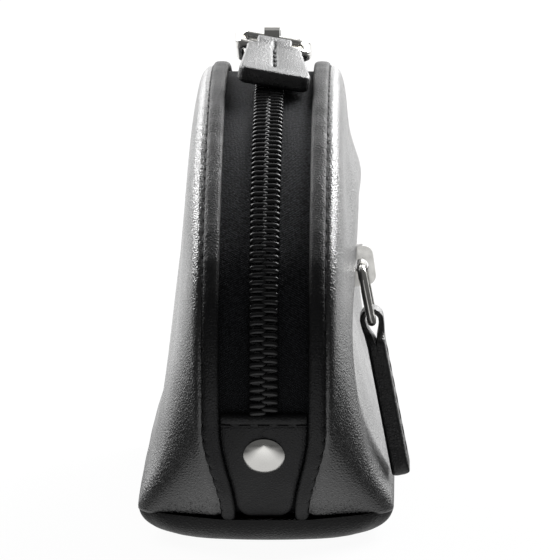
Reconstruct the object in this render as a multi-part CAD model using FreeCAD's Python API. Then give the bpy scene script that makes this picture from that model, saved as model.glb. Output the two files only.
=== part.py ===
import FreeCAD
import Part
import math
import os

# Soft leather key case with a zip over the top. Millimetres, +X is the front, +Y runs along the
# length and +Z is up. The origin is the middle of the base, on the surface that the case stands on.

# Outline of the zip gusset, seen from the front: one arc over the top, a smaller one round each
# end to the nose, and one from the nose down to the base seam.
case_length = 120.0
case_height = 64.0
case_depth = 36.0
nose_height = 28.0
end_radius = 22.0
heel_radius = 31.0
seam_height = 4.5

# Leather and cloth.
leather = 1.4
lining = 0.4
layer_gap = 0.15
board = 1.2

# Zip gusset, measured across the case.
gusset_half = 8.75
gusset_half_low = 6.3
taper_height = 18.0
binding_width = 2.4
binding_width_low = 2.0
binding_drop = 1.15

# Coil zip. Lifts are measured outward from the outline.
tape_top = -1.2
tape = 0.5
tape_inset = 0.35
coil_height = 1.3
coil_inner = 0.4
coil_outer = 2.1
coil_seat = 0.1
coil_end_height = 20.9

# Panels.
waist_half = 11.5
bell_power = 1.6
shoulder_power = 16.0
seam_sink = 0.25
base_end_clear = 0.2
hem_height = 6.2
hem_tuck = 0.9
belly_share = 0.05

# Base.
rim_gap = 0.1
base_bow = 2.6
base_tuck_x = 9.0
base_tuck_y = 6.0
board_corner = 3.0
board_margin = 0.5
cloth_margin = 1.0

# End tabs and rivets.
tab_top_height = 20.6
tab_end_turn = 48.5
tab_clear = 0.25
tab_tip_half = 2.2
rivet_height = 14.3
rivet_radius = 2.95
rivet_dome = 1.15
rivet_post = 0.8
rivet_clear = 0.1
rivet_foot = 2.3
rivet_foot_height = 0.6
rivet_foot_clear = 0.25

# Sliders, rings and leather pulls.
slider_half_width = 3.6
slider_half_length = 4.4
slider_plate = 0.8
slider_clear = 0.25
slider_flange = 0.85
slider_post = 0.22
crown_half = 1.15
crown_half_length = 2.9
crown_rise = 2.4
crown_roof = 0.85
ring_wire = 0.65
ring_half = 5.1
ring_length = 8.0
ring_corner = 1.5
ring_play = 0.4
loop_radius = 1.9
loop_play = 0.25
pull_loop_half = 3.8
pull_end_half = 5.5
pull_neck = 4.0
pull_corner = 2.0
main_pull_length = 18.0
main_pull_thick = 2.5
pocket_pull_length = 23.0
pocket_pull_thick = 2.7
near_slider_turn = 5.5
slider_spacing = 10.2
pull_roll = 10.0
ring_droop = 10.4
pull_droop = 13.0

# Zip pocket in the front panel.
pocket_height = 37.8
pocket_hollow = 1.8
hollow_low_share = 0.3
hollow_high_share = 0.4
pocket_tilt_angle = 1.9
pocket_sink = 1.45
slot_half_height = 4.1
slot_half_length = 34.0
slot_corner = 2.0
pocket_tape_half = 6.2
pocket_tape_reach = 2.0
pocket_slider_rest = 0.6
pocket_hang = 11.0
pocket_depth = 4.4
room_low_share = 0.76
room_high_share = 0.736

# Key rail and hooks inside the back.
hook_count = 6
hook_pitch = 9.4
rail_height = 45.6
rail_x = -3.5
rail_rod = 0.7
rail_rod_clear = 0.02
knuckle_half = 1.2
plate_thick = 0.8
plate_rise = 8.4
flap_margin = 2.2
flap_thick = 1.2
plate_rivet = 1.7
hook_wire = 0.6
hook_eye_play = 0.25
hook_half = 2.9
hook_drop = 3.6
hook_loop = 10.0


def vec(x, y, z):
    return FreeCAD.Vector(x, y, z)


# The top arc touches the end arcs from outside, so its radius follows from the three sizes.
end_y = case_length / 2 - end_radius
end_fall = nose_height - case_height
top_radius = (end_y ** 2 + end_fall ** 2 - end_radius ** 2) / (-2 * (end_fall + end_radius))
top_centre = case_height - top_radius
top_turn = math.degrees(math.atan2(end_y, nose_height - top_centre))
heel_y = case_length / 2 - heel_radius


def heel_turn(height):
    return 90 + math.degrees(math.asin((nose_height - height) / heel_radius))


seam_turn = heel_turn(seam_height)
seam_end_y = heel_y + math.sqrt(heel_radius ** 2 - (nose_height - seam_height) ** 2)
base_corner_y = seam_end_y - base_bow - base_end_clear
base_half = case_depth / 2 - hem_tuck


def outline(turn, lift):
    # Point (y, z) on the outline whose outward normal is turned by this angle from straight up.
    size = abs(turn)
    way = math.copysign(1, turn)
    if size <= top_turn:
        centre = (0, top_centre)
        radius = top_radius
    elif size <= 90:
        centre = (end_y, nose_height)
        radius = end_radius
    else:
        centre = (heel_y, nose_height)
        radius = heel_radius
    reach = radius + lift
    y = centre[0] + reach * math.sin(math.radians(size))
    z = centre[1] + reach * math.cos(math.radians(size))
    return way * y, z


def steps(first, last, count):
    return [first + (last - first) * i / count for i in range(count)]


def turns(reach):
    # Turn angles from the near end over the top to the far end, closer together on small arcs.
    low = steps(-reach, -90, max(2, round((reach - 90) / 5)))
    near = steps(-90, -top_turn, 6)
    over = steps(-top_turn, top_turn, 16)
    far = steps(top_turn, 90, 6)
    return low + near + over + far + [-t for t in reversed(low)]


def along_shares(angles):
    # Share of the outline's length at each turn angle.
    points = [outline(t, 0) for t in angles]
    total = [0]
    for a, b in zip(points, points[1:]):
        total.append(total[-1] + math.hypot(b[0] - a[0], b[1] - a[1]))
    return [t / total[-1] for t in total]


def smooth(t):
    t = min(1, max(0, t))
    return t * t * (3 - 2 * t)


def half_width(turn, high, low):
    height = outline(turn, 0)[1]
    share = smooth((height - seam_height) / (taper_height - seam_height))
    return low + (high - low) * share


def gusset_edge(turn):
    return half_width(turn, gusset_half, gusset_half_low)


def binding_edge(turn):
    return gusset_edge(turn) - half_width(turn, binding_width, binding_width_low)


def spread(shares):
    # Knots of a cubic spline whose control points stand near these shares of its length, and the
    # exact shares at which they stand, where a straight row of them runs at an even pace.
    inner = [sum(shares[i:i + 3]) / 3 for i in range(1, len(shares) - 3)]
    every = [0] * 4 + inner + [1] * 4
    return [0] + inner + [1], [sum(every[i + 1:i + 4]) / 3 for i in range(len(shares))]


def skin(grid, knots_u, knots_v):
    # Cubic surface drawn by the grid as its control net, so it never swings past the grid.
    mults_u = [4] + [1] * (len(knots_u) - 2) + [4]
    mults_v = [4] + [1] * (len(knots_v) - 2) + [4]
    surface = Part.BSplineSurface()
    surface.buildFromPolesMultsKnots(grid, mults_u, mults_v, knots_u, knots_v, False, False, 3, 3)
    return surface


def rims(surface):
    u0, u1, v0, v1 = surface.bounds()
    curves = [surface.uIso(u0), surface.uIso(u1), surface.vIso(v0), surface.vIso(v1)]
    return [c.toShape() for c in curves]


def sheet(outer, inner, knots_u, knots_v):
    # Closed solid between two smooth skins over the same grid.
    top = skin(outer, knots_u, knots_v)
    under = skin(inner, knots_u, knots_v)
    faces = [top.toShape(), under.toShape()]
    for a, b in zip(rims(top), rims(under)):
        faces.append(Part.makeRuledSurface(a, b))
    shell = Part.makeShell(faces)
    shell.sewShape()
    solid = Part.makeSolid(shell)
    if solid.Volume < 0:
        solid.reverse()
    return solid


def band(side, angles, inner_x, outer_x, low, high, edge_drop):
    # Strip along the outline between two widths, with its outer face crowned by edge_drop.
    knots_u = spread(along_shares(angles))[0]
    knots_v, across = spread([0, 0.12, 0.5, 0.88, 1])
    outer = []
    inner = []
    for turn in angles:
        a = inner_x(turn)
        b = outer_x(turn)
        top_row = []
        low_row = []
        for v in across:
            x = side * (a + (b - a) * v)
            y, z = outline(turn, high - edge_drop * abs(2 * v - 1) ** 3)
            top_row.append(vec(x, y, z))
            y, z = outline(turn, low)
            low_row.append(vec(x, y, z))
        outer.append(top_row)
        inner.append(low_row)
    return sheet(outer, inner, knots_u, knots_v)


def middle_share(along):
    # 0 at the base seam of each end, 1 over the middle of the length.
    return smooth(min(along, 1 - along) / 0.3)


def shoulder(v):
    # Rounds the panel over into the gusset.
    return math.sqrt(max(0, 1 - v ** shoulder_power))


def bell(v, along):
    # Share of the way from gusset edge to base edge across the case, v from 0 at the base to 1 at
    # the gusset. Straight at the base seam of each end, bell shaped over the rest of the length.
    waist = (waist_half - gusset_half) / (case_depth / 2 - gusset_half)
    body = (waist + (1 - waist) * (1 - v) ** bell_power) * shoulder(v)
    end = 1 - v
    return end + (body - end) * middle_share(along)


def settle(side, v, along):
    # How far the leather draws in: at the hem, and on the front where the pocket is.
    hem = hem_tuck * max(0, 1 - v / belly_share) ** 2
    if side < 0:
        return hem
    hollow = smooth(v / hollow_low_share) * smooth((1 - v) / hollow_high_share)
    return hem + pocket_hollow * hollow * middle_share(along)


def panel_point(side, turn, along, hem, v, depth, seam_shift):
    # Point of the panel, depth below its outer face, on the line from base edge to gusset edge.
    seam_y, seam_z = outline(turn, -seam_sink - depth)
    seam_x = gusset_edge(turn) + seam_shift
    base_y = (base_corner_y - depth) * (2 * hem - 1)
    middle = middle_share(along)
    inward = depth * ((1 - middle) * (1 - v) + middle * shoulder(v))
    x = seam_x + (case_depth / 2 - seam_x) * bell(v, along) - inward - settle(side, v, along)
    y = base_y + (seam_y - base_y) * v
    z = hem_height + (seam_z - hem_height) * v
    return vec(side * x, y, z)


def panel_sheet(side, angles, outer_depth, inner_depth, seam_shift):
    shares = along_shares(angles)
    knots_u, hems = spread([(1 - math.cos(math.pi * share)) / 2 for share in shares])
    knots_v, rows = spread([0, 0.03, 0.08, 0.2, 0.36, 0.52, 0.68, 0.82, 0.92, 0.97, 1])
    outer = []
    inner = []
    for turn, along, hem in zip(angles, shares, hems):
        top_row = []
        low_row = []
        for v in rows:
            top_row.append(panel_point(side, turn, along, hem, v, outer_depth(v, along), seam_shift))
            low_row.append(panel_point(side, turn, along, hem, v, inner_depth(v, along), seam_shift))
        outer.append(top_row)
        inner.append(low_row)
    return sheet(outer, inner, knots_u, knots_v)


def flat_depth(depth):
    def at(v, along):
        return depth
    return at


def panel_share(height):
    # Share of the way up a panel at mid-length.
    return (height - hem_height) / (case_height - seam_sink - hem_height)


def panel_face_x(height):
    # Outer face of the front panel at mid-length.
    share = panel_share(height)
    return gusset_half + (case_depth / 2 - gusset_half) * bell(share, 0.5) - settle(1, share, 0.5)


pocket_share = panel_share(pocket_height)


def pocket_room(depth):
    # The front lining hangs away from the panel and leaves room for the pocket and its zip.
    def at(v, along):
        low = room_low_share * pocket_share
        high = room_high_share * (1 - pocket_share)
        rise = smooth(v / low) * smooth((1 - v) / high)
        return depth + layer_gap + pocket_depth * rise * middle_share(along)
    return at


def rod(start, end, radius):
    axis = end - start
    return Part.makeCylinder(radius, axis.Length, start, axis)


def block(x0, x1, y0, y1, z0, z1):
    return Part.makeBox(x1 - x0, y1 - y0, z1 - z0, vec(x0, y0, z0))


def upright_edges(solid):
    # Edges that run along Z.
    found = []
    for edge in solid.Edges:
        a = edge.Vertexes[0].Point
        b = edge.Vertexes[-1].Point
        if abs(a.x - b.x) < 1e-6 and abs(a.y - b.y) < 1e-6:
            found.append(edge)
    return found


def rounded_block(x0, x1, y0, y1, z0, z1, corner):
    solid = block(x0, x1, y0, y1, z0, z1)
    return solid.makeFillet(corner, upright_edges(solid))


def joined(solids):
    whole = solids[0]
    for other in solids[1:]:
        whole = whole.fuse(other)
    return whole.removeSplitter()


def loop_wire(half, start, end, corner, wire):
    # Closed wire loop in the XY plane, with bars along X at y = start and y = end.
    arms = [
        (vec(-half + corner, start, 0), vec(half - corner, start, 0)),
        (vec(half, start - corner, 0), vec(half, end + corner, 0)),
        (vec(half - corner, end, 0), vec(-half + corner, end, 0)),
        (vec(-half, end + corner, 0), vec(-half, start - corner, 0)),
    ]
    centres = [
        (vec(half - corner, start - corner, 0), 0),
        (vec(half - corner, end + corner, 0), 270),
        (vec(-half + corner, end + corner, 0), 180),
        (vec(-half + corner, start - corner, 0), 90),
    ]
    solids = [rod(a, b, wire) for a, b in arms if (b - a).Length > 1e-6]
    for centre, angle in centres:
        bend = Part.makeTorus(corner, wire, vec(0, 0, 0), vec(0, 0, 1), -180, 180, 90)
        bend.rotate(vec(0, 0, 0), vec(0, 0, 1), angle)
        bend.translate(centre)
        solids.append(bend)
    return joined(solids)


# Slider levels, as lifts from the outline.
tape_low = tape_top - tape
coil_low = tape_top + coil_seat
coil_high = coil_low + coil_height
slider_top = coil_high + slider_clear
slider_roof = slider_top + slider_plate
slider_floor = tape_low - slider_clear - slider_plate
crown_pin = slider_roof + crown_rise
crown_top = crown_pin + ring_wire + ring_play + crown_roof


def slider(head, crown_along):
    # Slider with its head end at +Y or -Y. The ring hole runs across the zip, or along it.
    w = slider_half_width
    n = slider_half_length
    roof = rounded_block(-w, w, -n, n, slider_top, slider_roof, 1.6)
    floor = rounded_block(-w, w, -n, n, slider_floor, slider_floor + slider_plate, 1.6)
    solids = [roof, floor]
    for side in (-1, 1):
        x0 = min(side * w, side * (w - slider_flange))
        solids.append(block(x0, x0 + slider_flange, 2 - n, n - 2, tape_top + slider_clear, slider_roof))
    post_near = min(head * 1.0, head * (n - 0.5))
    post_far = max(head * 1.0, head * (n - 0.5))
    solids.append(block(-slider_post, slider_post, post_near, post_far, slider_floor, slider_roof))
    crown = block(-crown_half, crown_half, -crown_half_length, crown_half_length, slider_roof, crown_top)
    tops = []
    for edge in crown.Edges:
        a = edge.Vertexes[0].Point
        b = edge.Vertexes[-1].Point
        if min(a.z, b.z) > crown_top - 1e-6 and abs(a.y - b.y) < 1e-6:
            tops.append(edge)
    crown = crown.makeFillet(1.4, tops)
    reach = crown_half + slider_half_width
    hole = rod(vec(-reach, 0, crown_pin), vec(reach, 0, crown_pin), ring_wire + ring_play)
    crown = crown.cut(hole)
    if crown_along:
        crown.rotate(vec(0, 0, 0), vec(0, 0, 1), 90)
    solids.append(crown)
    return joined(solids)


def ring():
    # Rectangular wire ring with one bar on the X axis and the other ring_length away at -Y.
    return loop_wire(ring_half, 0, -ring_length, ring_corner, ring_wire)


def pull(length, thick):
    # Leather strap folded round a bar on the X axis, with its two layers running along -Y.
    reach = pull_end_half + 1
    head = rod(vec(-reach, 0, 0), vec(reach, 0, 0), loop_radius)
    strap = block(-reach, reach, -length, 0, -thick / 2, thick / 2)
    body = joined([head, strap])
    hole = rod(vec(-reach - 1, 0, 0), vec(reach + 1, 0, 0), ring_wire + loop_play)
    body = body.cut(hole)
    e = pull_end_half
    h = pull_loop_half
    corners = [
        vec(-h, loop_radius, 0),
        vec(h, loop_radius, 0),
        vec(h, -pull_neck, 0),
        vec(e, -length, 0),
        vec(-e, -length, 0),
        vec(-h, -pull_neck, 0),
    ]
    plan = Part.Face(Part.makePolygon(corners + [corners[0]]))
    cutter = plan.extrude(vec(0, 0, 4 * loop_radius))
    cutter.translate(vec(0, 0, -2 * loop_radius))
    ends = [edge for edge in upright_edges(cutter) if edge.Vertexes[0].Point.y < 0.1 - length]
    cutter = cutter.makeFillet(pull_corner, ends)
    return body.common(cutter)


def placed(solid, place):
    copy = solid.copy()
    copy.Placement = place.multiply(copy.Placement)
    return copy


def turned(axis, angle):
    return FreeCAD.Placement(vec(0, 0, 0), FreeCAD.Rotation(axis, angle))


def moved(shift):
    return FreeCAD.Placement(shift, FreeCAD.Rotation())


along_x = vec(1, 0, 0)
along_y = vec(0, 1, 0)


def on_outline(turn):
    # Frame on the outline: X across, Y along the zip towards the far end, Z outward.
    y, z = outline(turn, 0)
    return moved(vec(0, y, z)).multiply(turned(along_x, -turn))


def pull_frames(seat, heading, roll):
    # Frames of the ring and of the strap that hangs on it, for a slider on the outline.
    start = seat.multiply(moved(vec(0, 0, crown_pin)))
    if heading > 0:
        start = start.multiply(turned(vec(0, 0, 1), 180))
    start = start.multiply(turned(along_y, roll))
    ring_place = start.multiply(turned(along_x, ring_droop))
    strap_place = ring_place.multiply(moved(vec(0, -ring_length, 0)))
    strap_place = strap_place.multiply(turned(along_x, pull_droop - ring_droop))
    return ring_place, strap_place


far_slider_turn = near_slider_turn + math.degrees(slider_spacing / top_radius)
near_seat = on_outline(near_slider_turn)
far_seat = on_outline(far_slider_turn)
near_ring_place, near_strap_place = pull_frames(near_seat, -1, pull_roll)
far_ring_place, far_strap_place = pull_frames(far_seat, 1, 0)


# Frame of the pocket zip: Z outward from the panel, Y along the case, X down the panel.
pocket_low_x = panel_face_x(pocket_height - slot_half_height)
pocket_high_x = panel_face_x(pocket_height + slot_half_height)
pocket_slope = math.degrees(math.atan2(pocket_low_x - pocket_high_x, 2 * slot_half_height))
pocket_lean = pocket_slope + pocket_tilt_angle
pocket_slider_y = slider_half_length + pocket_slider_rest - slot_half_length
pocket_centre = vec(panel_face_x(pocket_height), 0, pocket_height)
pocket_turn = turned(along_y, 90 - pocket_lean)
pocket_face = moved(pocket_centre).multiply(pocket_turn)
pocket_zip = pocket_face.multiply(moved(vec(0, 0, -pocket_sink)))
pocket_seat = pocket_zip.multiply(moved(vec(0, pocket_slider_y, 0)))
pocket_pin = pocket_seat.multVec(vec(0, 0, crown_pin))
hang = moved(pocket_pin).multiply(turned(along_y, -pocket_hang)).multiply(turned(vec(0, 0, 1), 90))
pocket_ring_place = hang.multiply(turned(along_x, 90))
pocket_strap_place = pocket_ring_place.multiply(moved(vec(0, -ring_length, 0)))


def rivet_frame(way):
    turn = heel_turn(rivet_height)
    y, z = outline(way * turn, -seam_sink)
    return moved(vec(0, y, z)).multiply(turned(along_x, -way * turn))


def rivet(way):
    # Domed cap outside the tab, post, and a flat foot behind the zip tape.
    rise = rivet_dome
    ball = (rivet_radius ** 2 + rise ** 2) / (2 * rise)
    dome = Part.makeSphere(ball, vec(0, 0, rise - ball))
    dome = dome.common(block(-5, 5, -5, 5, 0, 5))
    dome.translate(vec(0, 0, rivet_clear))
    foot_top = tape_low + seam_sink - rivet_foot_clear
    foot_low = foot_top - rivet_foot_height
    post = rod(vec(0, 0, foot_low), vec(0, 0, rivet_clear + rise / 2), rivet_post)
    foot = rod(vec(0, 0, foot_low), vec(0, 0, foot_top), rivet_foot)
    return placed(joined([dome, post, foot]), rivet_frame(way))


def rivet_hole(way):
    drill = rod(vec(0, 0, -6), vec(0, 0, 3), rivet_post + rivet_clear)
    return placed(drill, rivet_frame(way))


def tab_half(share):
    # Half width of the end tab, from its straight top edge to its rounded tip.
    turn = tab_turn(share)
    wide = binding_edge(turn) - tab_clear
    tip = max(0, (share - 0.8) / 0.2)
    return tab_tip_half + (wide - tab_tip_half) * math.sqrt(max(0, 1 - tip ** 2))


def tab_turn(share):
    start = heel_turn(tab_top_height)
    return start + (90 + tab_end_turn - start) * share


def tab(way):
    knots_u, shares = spread([0, 0.1, 0.25, 0.4, 0.55, 0.7, 0.8, 0.86, 0.91, 0.95, 0.98, 1])
    knots_v, across = spread([0, 0.25, 0.5, 0.75, 1])
    outer = []
    inner = []
    for share in shares:
        half = tab_half(share)
        top_row = []
        low_row = []
        for v in across:
            x = (2 * v - 1) * half
            y, z = outline(way * tab_turn(share), -seam_sink)
            top_row.append(vec(x, y, z))
            y, z = outline(way * tab_turn(share), coil_low)
            low_row.append(vec(x, y, z))
        outer.append(top_row)
        inner.append(low_row)
    return sheet(outer, inner, knots_u, knots_v).cut(rivet_hole(way))


def base_ring(inset_x, inset_y, z):
    # Closed plan outline of the base: straight sides and bowed ends.
    x = base_half - inset_x
    y = base_corner_y - inset_y
    near = Part.Arc(vec(-x, -y, z), vec(0, -y - base_bow, z), vec(x, -y, z)).toShape()
    right = Part.makeLine(vec(x, -y, z), vec(x, y, z))
    far = Part.Arc(vec(x, y, z), vec(0, y + base_bow, z), vec(-x, y, z)).toShape()
    left = Part.makeLine(vec(-x, y, z), vec(-x, -y, z))
    return Part.Wire([near, right, far, left])


def wall_inset(share):
    # Quarter ellipse from the flat bottom, share 0, up to the rim, share 1.
    return 1 - math.sqrt(1 - (1 - share) ** 2)


def dish(extra, floor, rim):
    # Shallow dish whose wall curves up from a flat bottom.
    wires = []
    for share in (0, 0.1, 0.3, 0.6, 1):
        inset_x = extra + base_tuck_x * wall_inset(share)
        inset_y = extra + base_tuck_y * wall_inset(share)
        wires.append(base_ring(inset_x, inset_y, floor + (rim - floor) * share))
    return Part.makeLoft(wires, True, False)


def rim_cut(rim, end_rim):
    # Takes the dish down to the lower rim at its ends, rising to the side rims.
    reach = base_corner_y + base_bow + leather
    corners = [
        vec(-base_half, -reach, rim),
        vec(-gusset_half_low, -reach, end_rim),
        vec(gusset_half_low, -reach, end_rim),
        vec(base_half, -reach, rim),
        vec(base_half, -reach, 2 * rim),
        vec(-base_half, -reach, 2 * rim),
    ]
    return Part.Face(Part.makePolygon(corners + [corners[0]])).extrude(vec(0, 2 * reach, 0))


def hook_eye():
    return rail_rod + hook_eye_play + hook_wire


def key_hook(index):
    # Wire hook: an eye round the rail's rod, a short shank and a closed loop for the keys.
    y = (index - (hook_count - 1) / 2) * hook_pitch
    eye = Part.makeTorus(hook_eye(), hook_wire, vec(0, 0, 0), along_y)
    top = -hook_eye() - hook_drop
    shank = rod(vec(0, 0, -hook_eye()), vec(0, 0, top), hook_wire)
    loop = loop_wire(hook_half, 0, -hook_loop, hook_half - 0.01, hook_wire)
    loop.rotate(vec(0, 0, 0), along_x, 90)
    loop.rotate(vec(0, 0, 0), vec(0, 0, 1), 90)
    loop.translate(vec(0, 0, top))
    whole = joined([eye, shank, loop])
    whole.translate(vec(rail_x, y, rail_height))
    return whole


def knuckle_spots():
    return [(i - hook_count / 2) * hook_pitch for i in range(hook_count + 1)]


rail_half = hook_count * hook_pitch / 2 + knuckle_half
plate_face = rail_x - hook_eye() - hook_wire - 0.2
plate_back = plate_face - plate_thick
flap_face = plate_back - 0.02
flap_back = flap_face - flap_thick
plate_low = rail_height - knuckle_half
plate_top = plate_low + plate_rise
plate_rivet_spots = [-hook_pitch * 2, hook_pitch * 2]
plate_rivet_height = plate_top - 2.4


def key_plate():
    # Plate with a row of knuckles that hold the rod.
    solids = [block(plate_back, plate_face, -rail_half, rail_half, plate_low, plate_top)]
    for y in knuckle_spots():
        front = rail_x + knuckle_half
        knuckle = block(plate_back, front, y - knuckle_half, y + knuckle_half, plate_low, rail_height + knuckle_half)
        solids.append(knuckle)
    whole = joined(solids)
    reach = rail_half + 1
    start = vec(rail_x, -reach, rail_height)
    whole = whole.cut(rod(start, vec(rail_x, reach, rail_height), rail_rod + rail_rod_clear))
    for y in plate_rivet_spots:
        whole = whole.cut(plate_drill(y))
    return whole


def plate_drill(y):
    start = vec(flap_back - 1, y, plate_rivet_height)
    return rod(start, vec(plate_face + 1, y, plate_rivet_height), rivet_post + 0.05)


def key_flap():
    low = plate_low - 1.0
    high = plate_top + flap_margin
    reach = rail_half + flap_margin
    flap = block(flap_back, flap_face, -reach, reach, low, high)
    for y in plate_rivet_spots:
        flap = flap.cut(plate_drill(y))
    return flap


def plate_rivets():
    solids = []
    for y in plate_rivet_spots:
        post = rod(vec(flap_back, y, plate_rivet_height), vec(plate_face + 0.3, y, plate_rivet_height), rivet_post)
        head = rod(vec(plate_face + 0.02, y, plate_rivet_height), vec(plate_face + 0.8, y, plate_rivet_height), plate_rivet)
        solids.append(joined([post, head]))
    return Part.makeCompound(solids)


def pocket_bar(x0, x1, low, high, reach):
    # Straight strip of the pocket zip, in the zip's own frame.
    return placed(block(x0, x1, -reach, reach, low, high), pocket_zip)


def pocket_slot():
    reach = slot_half_length
    deep = case_depth / 4
    cut = rounded_block(-slot_half_height, slot_half_height, -reach, reach, -deep, deep, slot_corner)
    return placed(cut, pocket_face)


full = turns(seam_turn)
coil_turns = turns(heel_turn(coil_end_height))


def tape_outer(turn):
    return gusset_edge(turn) - tape_inset


def fixed(value):
    def at(turn):
        return value
    return at


def zip_tape(side):
    strip = band(side, full, fixed(coil_inner), tape_outer, tape_low, tape_top, 0)
    for way in (-1, 1):
        strip = strip.cut(rivet_hole(way))
    return strip


def build():
    parts = {}
    sides = {"back": -1, "front": 1}
    under = leather + layer_gap
    for name, side in sides.items():
        panel = panel_sheet(side, full, flat_depth(0), flat_depth(leather), 0.1)
        if name == "front":
            panel = panel.cut(pocket_slot())
        parts[name + "_panel"] = panel
        room = pocket_room if name == "front" else flat_depth
        parts[name + "_lining"] = panel_sheet(side, full, room(under), room(under + lining), -0.1)
        parts[name + "_edge_binding"] = band(
            side, full, binding_edge, gusset_edge, coil_low, 0, binding_drop / 2
        )
        parts[name + "_zip_tape"] = zip_tape(side)
        parts[name + "_zip_coil"] = band(
            side, coil_turns, fixed(coil_inner), fixed(coil_outer), coil_low, coil_high, 0.3
        )

    rim = hem_height - rim_gap
    end_rim = seam_height - seam_sink - rim_gap
    hollow = dish(leather, leather, rim + leather)
    parts["base_panel"] = dish(0, 0, rim).cut(hollow).cut(rim_cut(rim, end_rim))
    board_low = leather + layer_gap
    x = base_half - leather - base_tuck_x * wall_inset(layer_gap / rim) - board_margin
    y = base_corner_y - leather - base_tuck_y * wall_inset(layer_gap / rim) - board_margin
    parts["base_board"] = rounded_block(-x, x, -y, y, board_low, board_low + board, board_corner)
    cloth_low = board_low + board + layer_gap
    x = x + cloth_margin
    y = y + cloth_margin
    cloth_high = cloth_low + lining
    corner = board_corner + board_margin
    parts["base_lining"] = rounded_block(-x, x, -y, y, cloth_low, cloth_high, corner)

    for name, way in (("near", -1), ("far", 1)):
        parts[name + "_end_tab"] = tab(way)
        parts[name + "_rivet"] = rivet(way)

    parts["near_slider"] = placed(slider(1, False), near_seat)
    parts["far_slider"] = placed(slider(-1, False), far_seat)
    main_pull = pull(main_pull_length, main_pull_thick)
    parts["near_pull_ring"] = placed(ring(), near_ring_place)
    parts["near_pull_strap"] = placed(main_pull, near_strap_place)
    parts["far_pull_ring"] = placed(ring(), far_ring_place)
    parts["far_pull_strap"] = placed(main_pull, far_strap_place)

    tape_reach = slot_half_length + pocket_tape_reach
    for name, way in (("upper", -1), ("lower", 1)):
        a = min(way * coil_inner, way * pocket_tape_half)
        b = max(way * coil_inner, way * pocket_tape_half)
        parts["pocket_tape_" + name] = pocket_bar(a, b, tape_low, tape_top, tape_reach)
        a = min(way * coil_inner, way * coil_outer)
        b = max(way * coil_inner, way * coil_outer)
        parts["pocket_coil_" + name] = pocket_bar(a, b, coil_low, coil_high, slot_half_length - 1)
    parts["pocket_slider"] = placed(slider(1, True), pocket_seat)
    parts["pocket_pull_ring"] = placed(ring(), pocket_ring_place)
    parts["pocket_pull_strap"] = placed(pull(pocket_pull_length, pocket_pull_thick), pocket_strap_place)

    parts["key_flap"] = key_flap()
    parts["key_plate"] = key_plate()
    parts["key_plate_rivets"] = plate_rivets()
    start = vec(rail_x, -rail_half, rail_height)
    parts["key_rod"] = rod(start, vec(rail_x, rail_half, rail_height), rail_rod)
    for index in range(hook_count):
        parts["key_hook_" + str(index + 1)] = key_hook(index)
    return parts


os.makedirs("parts", exist_ok=True)
for part_name, shape in build().items():
    shape.exportStep(os.path.join("parts", part_name + ".step"))
    print(part_name, round(shape.Volume, 2), shape.isValid(), len(shape.Solids))
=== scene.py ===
import bpy
import bmesh
import math
import numpy as np
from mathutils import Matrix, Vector


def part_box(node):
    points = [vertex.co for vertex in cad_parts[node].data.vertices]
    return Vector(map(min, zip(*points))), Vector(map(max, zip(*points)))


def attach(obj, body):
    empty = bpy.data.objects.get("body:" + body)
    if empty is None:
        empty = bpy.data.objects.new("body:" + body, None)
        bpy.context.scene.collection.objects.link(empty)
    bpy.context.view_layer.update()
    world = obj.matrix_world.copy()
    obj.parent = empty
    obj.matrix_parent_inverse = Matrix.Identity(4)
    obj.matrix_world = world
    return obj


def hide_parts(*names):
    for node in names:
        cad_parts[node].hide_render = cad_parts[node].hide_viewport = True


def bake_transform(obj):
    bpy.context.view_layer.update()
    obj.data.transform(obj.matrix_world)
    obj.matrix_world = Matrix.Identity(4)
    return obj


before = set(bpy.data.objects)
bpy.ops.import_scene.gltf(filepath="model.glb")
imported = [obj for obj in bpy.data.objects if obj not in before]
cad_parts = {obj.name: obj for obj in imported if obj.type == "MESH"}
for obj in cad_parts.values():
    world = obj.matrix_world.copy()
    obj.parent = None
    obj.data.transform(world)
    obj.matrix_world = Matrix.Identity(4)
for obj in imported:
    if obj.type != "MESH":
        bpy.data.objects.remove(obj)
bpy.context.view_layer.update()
scene = bpy.context.scene

# sizes of the case in millimetres: those of the part's source, and the soft forms that only this scene has
case = {
    "length": 120.0, "height": 64.0, "depth": 36.0, "noseHeight": 28.0, "endRadius": 22.0, "heelRadius": 31.0,
    "seamHeight": 4.5, "seamDrop": 0.75, "gussetHalf": 8.75, "gussetHalfLow": 6.3, "taperHeight": 18.0,
    "bindingWidth": 2.4, "bindingWidthLow": 2.0, "waistHalf": 11.5, "bellPower": 1.6, "shoulderPower": 16.0,
    "endFade": 0.3, "seamSink": 0.25, "hemHeight": 3.9, "hemTuck": 0.3, "tuckShare": 0.05, "baseBow": 2.6,
    "baseEndClear": 0.2, "leather": 1.4, "pocketHollow": 1.8, "hollowMore": 1.4, "moreShare": 0.48,
    "moreSpread": 0.16, "hollowEnd": 52.0, "hollowFade": 26.0, "hollowLow": 0.3, "hollowHigh": 0.4,
    "bellyOut": 1.0, "bellyRise": 2.5, "bellySpread": 5.0, "lipOut": 2.4, "lipShare": 0.72, "lipSpread": 0.09,
    "stitchPitch": 2.3, "cornerRound": 5.0,
}


def smooth(t):
    t = np.clip(t, 0, 1)
    return t * t * (3 - 2 * t)


# bell-shaped swell of height 1 round a place
def hump(value, at, spread):
    return np.exp(-((value - at) / spread) ** 2)


# how far a rounded edge falls away at a distance from it: radius less the height of its quarter circle
def edgeFall(radius, distance):
    return radius - np.sqrt(np.maximum(radius ** 2 - np.clip(radius - distance, 0, None) ** 2, 0))


# sine or cosine made squarer by a power below 1, its sign kept
def squared(t, power):
    return np.sign(t) * np.abs(t) ** power


# uneven wave: a sine whose own pace sways
def wander(t, pace, sway, swayPace, start=0):
    return np.sin(t * pace + sway * np.sin(t * swayPace + start))


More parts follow.
